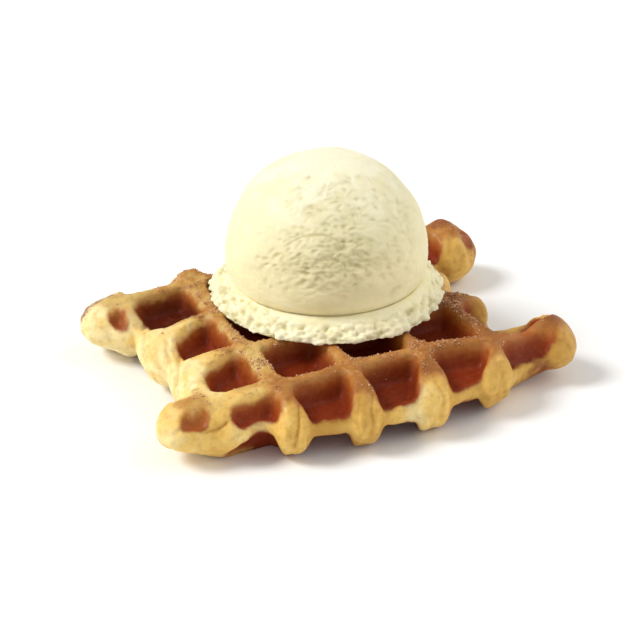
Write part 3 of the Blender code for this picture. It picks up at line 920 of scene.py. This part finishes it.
class Shader:
    """Short ways to add nodes to a material's tree."""

    def __init__(self, name):
        self.material = bpy.data.materials.new(name)
        self.material.use_nodes = True
        self.tree = self.material.node_tree
        self.surface = self.tree.nodes["Principled BSDF"]
        self.place = self.tree.nodes.new("ShaderNodeTexCoord").outputs["Object"]

    def link(self, source, target):
        self.tree.links.new(source, target)

    def attribute(self, name):
        node = self.tree.nodes.new("ShaderNodeAttribute")
        node.attribute_name = name
        return node.outputs["Fac"]

    def noise(self, scale, detail=3.0, roughness=0.6):
        node = self.tree.nodes.new("ShaderNodeTexNoise")
        node.inputs["Scale"].default_value = scale
        node.inputs["Detail"].default_value = detail
        node.inputs["Roughness"].default_value = roughness
        self.link(self.place, node.inputs["Vector"])
        return node.outputs["Fac"]

    def math(self, operation, first, second):
        node = self.tree.nodes.new("ShaderNodeMath")
        node.operation = operation
        for socket, value in zip(node.inputs, (first, second)):
            if isinstance(value, (int, float)):
                socket.default_value = value
            else:
                self.link(value, socket)
        return node.outputs[0]

    def ramp(self, factor, stops):
        """Colour ramp from (position, colour) stops."""
        node = self.tree.nodes.new("ShaderNodeValToRGB")
        elements = node.color_ramp.elements
        while len(elements) < len(stops):
            elements.new(0.5)
        for element, (position, colour) in zip(elements, stops):
            element.position = position
            element.color = (*colour, 1.0)
        self.link(factor, node.inputs["Fac"])
        return node.outputs["Color"]

    def remap(self, value, low, high, new_low, new_high):
        node = self.tree.nodes.new("ShaderNodeMapRange")
        node.interpolation_type = "SMOOTHSTEP"
        for name, number in zip(("From Min", "From Max", "To Min", "To Max"), (low, high, new_low, new_high)):
            node.inputs[name].default_value = number
        self.link(value, node.inputs["Value"])
        return node.outputs["Result"]

    def mix(self, factor, first, second, blend="MIX"):
        node = self.tree.nodes.new("ShaderNodeMix")
        node.data_type = "RGBA"
        node.blend_type = blend
        for socket, value in ((node.inputs[0], factor), (node.inputs[6], first), (node.inputs[7], second)):
            if isinstance(value, (int, float)):
                socket.default_value = value
            elif isinstance(value, tuple):
                socket.default_value = (*value, 1.0)
            else:
                self.link(value, socket)
        return node.outputs[2]

    def bump(self, height, distance, strength=1.0):
        node = self.tree.nodes.new("ShaderNodeBump")
        node.inputs["Distance"].default_value = distance
        node.inputs["Strength"].default_value = strength
        self.link(height, node.inputs["Height"])
        self.link(node.outputs["Normal"], self.surface.inputs["Normal"])

    def set(self, **values):
        for name, value in values.items():
            socket = self.surface.inputs[name.replace("_", " ")]
            if isinstance(value, (int, float)):
                socket.default_value = value
            else:
                self.link(value, socket)


def dough_material():
    """Pale where the dough rose free, brown where the iron touched, darkest on the pit floors, with painted
    shade in the creases and in the pits that lie in shade.
    """
    s = Shader("baked_dough")
    free = s.attribute("free")
    depth = s.attribute("depth")
    toast_and_shade = s.attribute("toast_and_shade")
    broad = s.noise(BROAD_SCALE)
    fine = s.noise(FINE_SCALE)
    # Browning with its rise towards the right, which is partly painted shade
    toast_and_shade_level = s.math("ADD", toast_and_shade, s.remap(broad, 0.3, 0.7, -0.16, 0.16))
    pale = s.ramp(toast_and_shade_level, PALE_STOPS)
    deepening = s.math("ADD", depth, s.remap(broad, 0.3, 0.7, -0.10, 0.10))
    walls = s.ramp(deepening, WALL_STOPS)
    ridges = s.ramp(toast_and_shade_level, RIDGE_STOPS)
    # Painted shade darkens the walls of the shaded pits
    walls = s.mix(s.attribute("pit_shade"), walls, PIT_PAINTED_SHADE, "MULTIPLY")
    browned = s.mix(s.remap(deepening, 0.02, 0.30, 0.0, 1.0), ridges, walls)
    edge_wobble = s.math("ADD", free, s.remap(broad, 0.35, 0.65, -0.18, 0.18))
    colour = s.mix(s.remap(edge_wobble, 0.12, 0.88, 0.0, 1.0), browned, pale)
    # Painted shade darkens the creases
    colour = s.mix(s.math("MULTIPLY", s.attribute("crease_shade"), 0.55), colour, CREASE_PAINTED_SHADE, "MULTIPLY")
    ragged = s.math("ADD", s.remap(broad, 0.3, 0.7, -0.20, 0.20), s.remap(fine, 0.3, 0.7, -0.20, 0.20))
    char = s.math("ADD", s.attribute("char"), ragged)
    colour = s.mix(s.remap(char, 0.20, 1.15, 0.0, 0.90), colour, SCORCHED)
    flecks = s.remap(fine, 0.52, 0.70, 0.0, 1.0)
    fleck_share = s.math("ADD", 0.05, s.math("MULTIPLY", s.attribute("rough"), 0.60))
    colour = s.mix(s.math("MULTIPLY", flecks, fleck_share), colour, FLECK)
    pores = s.remap(s.noise(PORE_SCALE), 0.42, 0.30, 0.0, 0.55)
    colour = s.mix(s.math("MULTIPLY", pores, s.attribute("rough")), colour, PORE)
    mottles = s.remap(s.noise(MOTTLE_SCALE), 0.30, 0.55, 0.22, 0.0)
    colour = s.mix(mottles, colour, MOTTLE, "MULTIPLY")
    s.set(
        Base_Color=colour,
        Roughness=s.remap(fine, 0.3, 0.7, 0.38, 0.62),
        Specular_IOR_Level=s.remap(deepening, 0.10, 0.70, 0.32, 0.14),
        Coat_Weight=0.04,
        Coat_Roughness=0.20,
    )
    s.bump(s.noise(CRUST_BUMP_SCALE, 4.0), 0.00012, 0.6)
    return s.material


def grain_shape():
    """A small crystal of unit radius: points and triangles of an octahedron."""
    points = [(1, 0, 0), (-1, 0, 0), (0, 1, 0), (0, -1, 0), (0, 0, 1), (0, 0, -1)]
    faces = [(0, 2, 4), (2, 1, 4), (1, 3, 4), (3, 0, 4), (2, 0, 5), (1, 2, 5), (3, 1, 5), (0, 3, 5)]
    return np.array(points, float), np.array(faces)


def grain_chances(points, normals):
    """How likely each point of the crust is to carry a grain. All of them add up to 1."""
    x, y = cells_of(points)
    height = (points[:, 2] - THICKNESS / 2) / (THICKNESS / 2)
    upward = np.clip(normals[:, 2], 0.0, 1.0) * (height > 0.0)
    chance = spots(x, y, SUGAR + THIN_SCATTER) * upward
    chance *= GRAINS_BELOW + smoothstep(0.72, 0.97, height)
    chance *= smoothstep(-0.05, 0.40, noise_at(points, *GRAIN_GROUPS))
    return chance / chance.sum()


def make_sugar(waffle):
    """Coarse sugar and crumbs scattered over the top, thickest in the patches that the photograph shows."""
    rng = np.random.default_rng(SEED)
    points = vertex_array(waffle.data, "co")
    normals = vertex_array(waffle.data, "normal")
    chosen = rng.choice(len(points), GRAINS, p=grain_chances(points, normals))
    shape, faces = grain_shape()
    share = rng.uniform(0.0, 1.0, (GRAINS, 1, 1)) ** GRAIN_SIZE_POWER
    sizes = GRAIN_SIZE[0] + (GRAIN_SIZE[1] - GRAIN_SIZE[0]) * share
    sizes = sizes * rng.uniform(*GRAIN_SIDES, (GRAINS, 1, 3))
    turns = np.linalg.qr(rng.normal(size=(GRAINS, 3, 3)))[0]
    bodies = np.einsum("gij,gpj->gpi", turns, shape[None] * sizes)
    centres = points[chosen] + normals[chosen] * sizes.mean(-1) * GRAIN_LIFT
    all_points = (bodies + centres[:, None]).reshape(-1, 3)
    all_faces = faces[None] + np.arange(GRAINS)[:, None, None] * len(shape)
    mirrored = np.linalg.det(turns) < 0
    all_faces[mirrored] = all_faces[mirrored][:, :, ::-1]
    sugar = new_object("sugar_crumbs", mesh_of("sugar_crumbs", all_points, all_faces.reshape(-1, 3)))
    sugar.data.materials.append(sugar_material())
    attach(sugar, "root")
    return sugar


def sugar_material():
    s = Shader("sugar_crumbs")
    tone = s.ramp(s.noise(SUGAR_TONE_SCALE), SUGAR_STOPS)
    s.set(Base_Color=tone, Roughness=s.remap(s.noise(SUGAR_GLOSS_SCALE), 0.3, 0.7, 0.25, 0.5))
    return s.material


def scoop_profile(turn):
    """Radius and height of the scoop's outer line, from the skirt's foot (0) to the top (1)."""
    base = THICKNESS + REST_GAP
    centre = base + DOME_CENTRE_HEIGHT
    if turn < SKIRT_SHARE:
        angle = turn / SKIRT_SHARE * math.pi
        lip = (SKIRT_RADIUS - DOME_RADIUS) / 2 + SKIRT_OVERHANG
        radius = SKIRT_RADIUS - lip + lip * math.cos(angle - SKIRT_TUCK)
        height = base + SKIRT_HEIGHT / 2 * (1.0 - math.cos(angle))
        return radius, height
    start = -math.asin((DOME_CENTRE_HEIGHT - SKIRT_HEIGHT - GROOVE) / DOME_RADIUS)
    lift = start + (turn - SKIRT_SHARE) / (1.0 - SKIRT_SHARE) * (math.pi / 2 - start)
    return DOME_RADIUS * math.cos(lift), centre + DOME_RADIUS * math.sin(lift)


def scoop_points():
    """Rings of points around the scoop, with the share of the way up each point's outline."""
    turns = np.arange(SCOOP_RINGS) / SCOOP_RINGS
    profile = np.array([scoop_profile(t) for t in turns])
    angles = 2.0 * np.pi * np.arange(SCOOP_AROUND) / SCOOP_AROUND
    centre_x = (SCOOP_CELL[0] - GRID_CENTRE[0]) * PITCH
    centre_y = (SCOOP_CELL[1] - GRID_CENTRE[1]) * PITCH
    x = centre_x + profile[:, :1] * np.cos(angles)
    y = centre_y + profile[:, :1] * np.sin(angles)
    z = np.repeat(profile[:, 1:], SCOOP_AROUND, axis=1)
    points = np.stack([x, y, z], -1).reshape(-1, 3)
    top = (centre_x, centre_y, THICKNESS + REST_GAP + DOME_CENTRE_HEIGHT + DOME_RADIUS)
    return np.vstack([points, top]), np.append(np.repeat(turns, SCOOP_AROUND), 1.0)


def scoop_faces():
    ring = np.arange(SCOOP_AROUND)
    after = (ring + 1) % SCOOP_AROUND
    quads = []
    for row in range(SCOOP_RINGS - 1):
        low = row * SCOOP_AROUND
        high = low + SCOOP_AROUND
        quads.append(np.stack([low + ring, low + after, high + after, high + ring], -1))
    faces = np.concatenate(quads).tolist()
    last = (SCOOP_RINGS - 1) * SCOOP_AROUND
    top = SCOOP_RINGS * SCOOP_AROUND
    faces += [(last + a, last + b, top) for a, b in zip(ring.tolist(), after.tolist())]
    faces.append(tuple(reversed(ring.tolist())))
    return faces


def facing(points, centre, azimuth, height, spread):
    """Soft patch on the dome around one direction: compass angle in degrees and height share."""
    a = math.radians(azimuth)
    direction = np.array([math.cos(a), math.sin(a), height])
    direction /= np.linalg.norm(direction)
    away = points - centre
    away /= np.linalg.norm(away, axis=1)[:, None] + 1e-9
    return np.exp(-(((1.0 - away @ direction) / spread) ** 2))


def scoop_relief(points):
    """Relief of scooped ice cream away from its tears: slow swell, soft crags and grain."""
    centre = np.array([*((np.array(SCOOP_CELL) - GRID_CENTRE) * PITCH), THICKNESS + DOME_CENTRE_HEIGHT])
    torn = sum(strength * facing(points, centre, *patch) for strength, *patch in CRAG_PATCHES)
    torn = np.clip(torn, 0.0, 1.0) + CRAG_EVERYWHERE
    crag = noise_sum(points * np.array([1.0, 1.0, CRAG_SQUEEZE]), CRAG_NOISES)
    crags = -CRAG * np.clip(crag - CRAG_START, 0.0, CRAG_MOST) * torn
    return noise_sum(points, SWELLS), crags, noise_sum(points, CREAM_GRAINS)


def lumps_at(points, length, seed):
    """Round lumps side by side: 1 in the middle of each, and less than 0 in the gaps."""
    shift = Vector((0.37 * seed, 1.91 * seed, 0.73 * seed))
    nearest = [noise.voronoi(Vector(p) + shift)[0][0] for p in (points / length).tolist()]
    return 1.0 - LUMP_FALL * np.array(nearest)


def skirt_relief(points, turn):
    """Frayed lumps along the skirt's rim below a smooth shelf, which the left side lacks."""
    round_part = points[:, :2] - (np.array(SCOOP_CELL) - GRID_CENTRE) * PITCH
    around = round_part / (np.linalg.norm(round_part, axis=1)[:, None] + 1e-9)
    left = smoothstep(0.25, 0.85, around @ np.array([-math.cos(VIEW_AZIMUTH), -math.sin(VIEW_AZIMUTH)]))
    uneven = noise_sum(points, UNEVEN_FRAY)
    fray_end = FRAY_END + FRAY_END_LEFT * left + uneven
    fray_full = FRAY_FULL + FRAY_FULL_LEFT * left + uneven
    frayed = smoothstep(fray_end, fray_full, turn)
    low = turn < SKIRT_TOP
    lumps = np.zeros(len(points))
    lumps[low] = sum(height * lumps_at(points[low], length, seed) for height, length, seed in LUMPS)
    lumps += noise_sum(points, SKIRT_SWELLS)
    shelf = SHELF_HEIGHT * smoothstep(*SHELF_FALL, turn) * smoothstep(*SHELF_RISE, turn) * (1.0 - left)
    groove = GROOVE_DEPTH * np.exp(-(((turn - GROOVE_PLACE) / GROOVE_WIDTH) ** 2))
    return frayed * lumps + shelf, groove * (1.0 - GROOVE_LESS_LEFT * left)


def make_scoop():
    points, turn = scoop_points()
    mesh = bpy.data.meshes.new("ice_cream_scoop")
    mesh.from_pydata(points.tolist(), [], scoop_faces())
    mesh.update()
    normals = vertex_array(mesh, "normal")
    normals[turn == 0.0] *= np.array([1.0, 1.0, 0.0])
    dome = smoothstep(DOME_START, SKIRT_TOP, turn)
    swell, crags, grain = scoop_relief(points)
    tears = np.maximum(traced_lines(points, normals, TEARS), torn_marks(points, normals))
    skirt, groove = skirt_relief(points, turn)
    relief = swell + grain + dome * (crags - tears) + skirt - groove
    points += relief[:, None] * normals
    points[:, 2] = np.maximum(points[:, 2], THICKNESS + REST_GAP)
    set_points(mesh, points)
    # Painted shade in the tears, the crags, the gaps between the skirt's lumps and the groove
    hollow_shade = dome * (tears - 0.5 * crags) + np.maximum(-skirt, 0.0) + 0.3 * groove
    set_mask(mesh, "hollow_shade", hollow_shade / HOLLOW_SHADE_FULL)
    # Height share that the ice cream's colours follow, which carry painted light and shade
    set_mask(mesh, "lift", (points[:, 2] - THICKNESS) / (DOME_CENTRE_HEIGHT + DOME_RADIUS))
    mesh.shade_smooth()
    scoop = new_object("ice_cream_scoop", mesh)
    scoop.data.materials.append(ice_cream_material())
    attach(scoop, "root")
    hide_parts("ice_cream")
    return scoop


def ice_cream_material():
    s = Shader("vanilla_ice_cream")
    uneven = s.remap(s.noise(CREAM_TONE_SCALE), 0.3, 0.7, -0.12, 0.12)
    # Cream colour with painted light and shade by height
    tone = s.ramp(s.math("ADD", s.attribute("lift"), uneven), CREAM_AND_PAINTED_LIGHT_STOPS)
    specks = s.remap(s.noise(CREAM_SPECK_SCALE), 0.30, 0.42, 0.20, 0.0)
    colour = s.mix(specks, tone, CREAM_SPECK)
    # Painted shade darkens the hollows
    colour = s.mix(s.math("MULTIPLY", s.attribute("hollow_shade"), 0.75), colour, CREAM_PAINTED_SHADE)
    s.set(
        Base_Color=colour,
        Roughness=s.remap(s.noise(CREAM_GLOSS_SCALE), 0.3, 0.7, 0.42, 0.60),
        Specular_IOR_Level=0.35,
        Subsurface_Weight=0.25,
        Subsurface_Scale=1.0,
    )
    s.surface.inputs["Subsurface Radius"].default_value = CREAM_SCATTER
    s.bump(s.noise(CREAM_BUMP_SCALE, 4.0), 0.00010, 0.5)
    return s.material


def make_floor():
    mesh = bpy.data.meshes.new("floor")
    corners = [(x * FLOOR_HALF, y * FLOOR_HALF, 0.0) for x, y in ((-1, -1), (1, -1), (1, 1), (-1, 1))]
    mesh.from_pydata(corners, [], [(0, 1, 2, 3)])
    floor = new_object("floor", mesh)
    s = Shader("pale_floor")
    s.set(Base_Color=s.ramp(s.noise(FLOOR_SCALE), FLOOR_STOPS), Roughness=0.7, Specular_IOR_Level=0.2)
    mesh.materials.append(s.material)


def make_sun(name, towards, strength, softness):
    light = bpy.data.lights.new(name, "SUN")
    light.energy = strength
    light.angle = math.radians(softness)
    lamp = bpy.data.objects.new(name, light)
    bpy.context.scene.collection.objects.link(lamp)
    lamp.rotation_euler = Vector(towards).to_track_quat("Z", "Y").to_euler()


def make_lights():
    world = bpy.data.worlds.new("studio")
    bpy.context.scene.world = world
    world.use_nodes = True
    background = world.node_tree.nodes["Background"]
    background.inputs["Color"].default_value = SKY_TONE
    background.inputs["Strength"].default_value = SKY_STRENGTH
    for sun in SUNS:
        make_sun(*sun)
    bpy.context.scene.view_settings.view_transform = "Standard"


def make_camera():
    camera = bpy.data.objects.new("camera", bpy.data.cameras.new("camera"))
    bpy.context.scene.collection.objects.link(camera)
    camera.data.sensor_width = SENSOR
    camera.data.lens = FOCAL_PIXELS / FRAME_PIXELS * SENSOR
    camera.data.clip_start = 0.01
    back, camera.location = view_of_photograph()
    camera.rotation_euler = (-back).to_track_quat("-Z", "Y").to_euler()
    bpy.context.scene.camera = camera


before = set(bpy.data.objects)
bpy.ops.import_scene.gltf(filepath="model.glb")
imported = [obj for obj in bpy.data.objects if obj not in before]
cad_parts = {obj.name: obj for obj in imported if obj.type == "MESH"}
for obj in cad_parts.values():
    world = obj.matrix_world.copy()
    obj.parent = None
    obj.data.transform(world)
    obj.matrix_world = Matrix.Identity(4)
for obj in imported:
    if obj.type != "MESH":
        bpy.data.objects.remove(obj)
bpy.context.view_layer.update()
make_floor()
make_lights()
make_camera()
crust = make_waffle()
make_sugar(crust)
make_scoop()
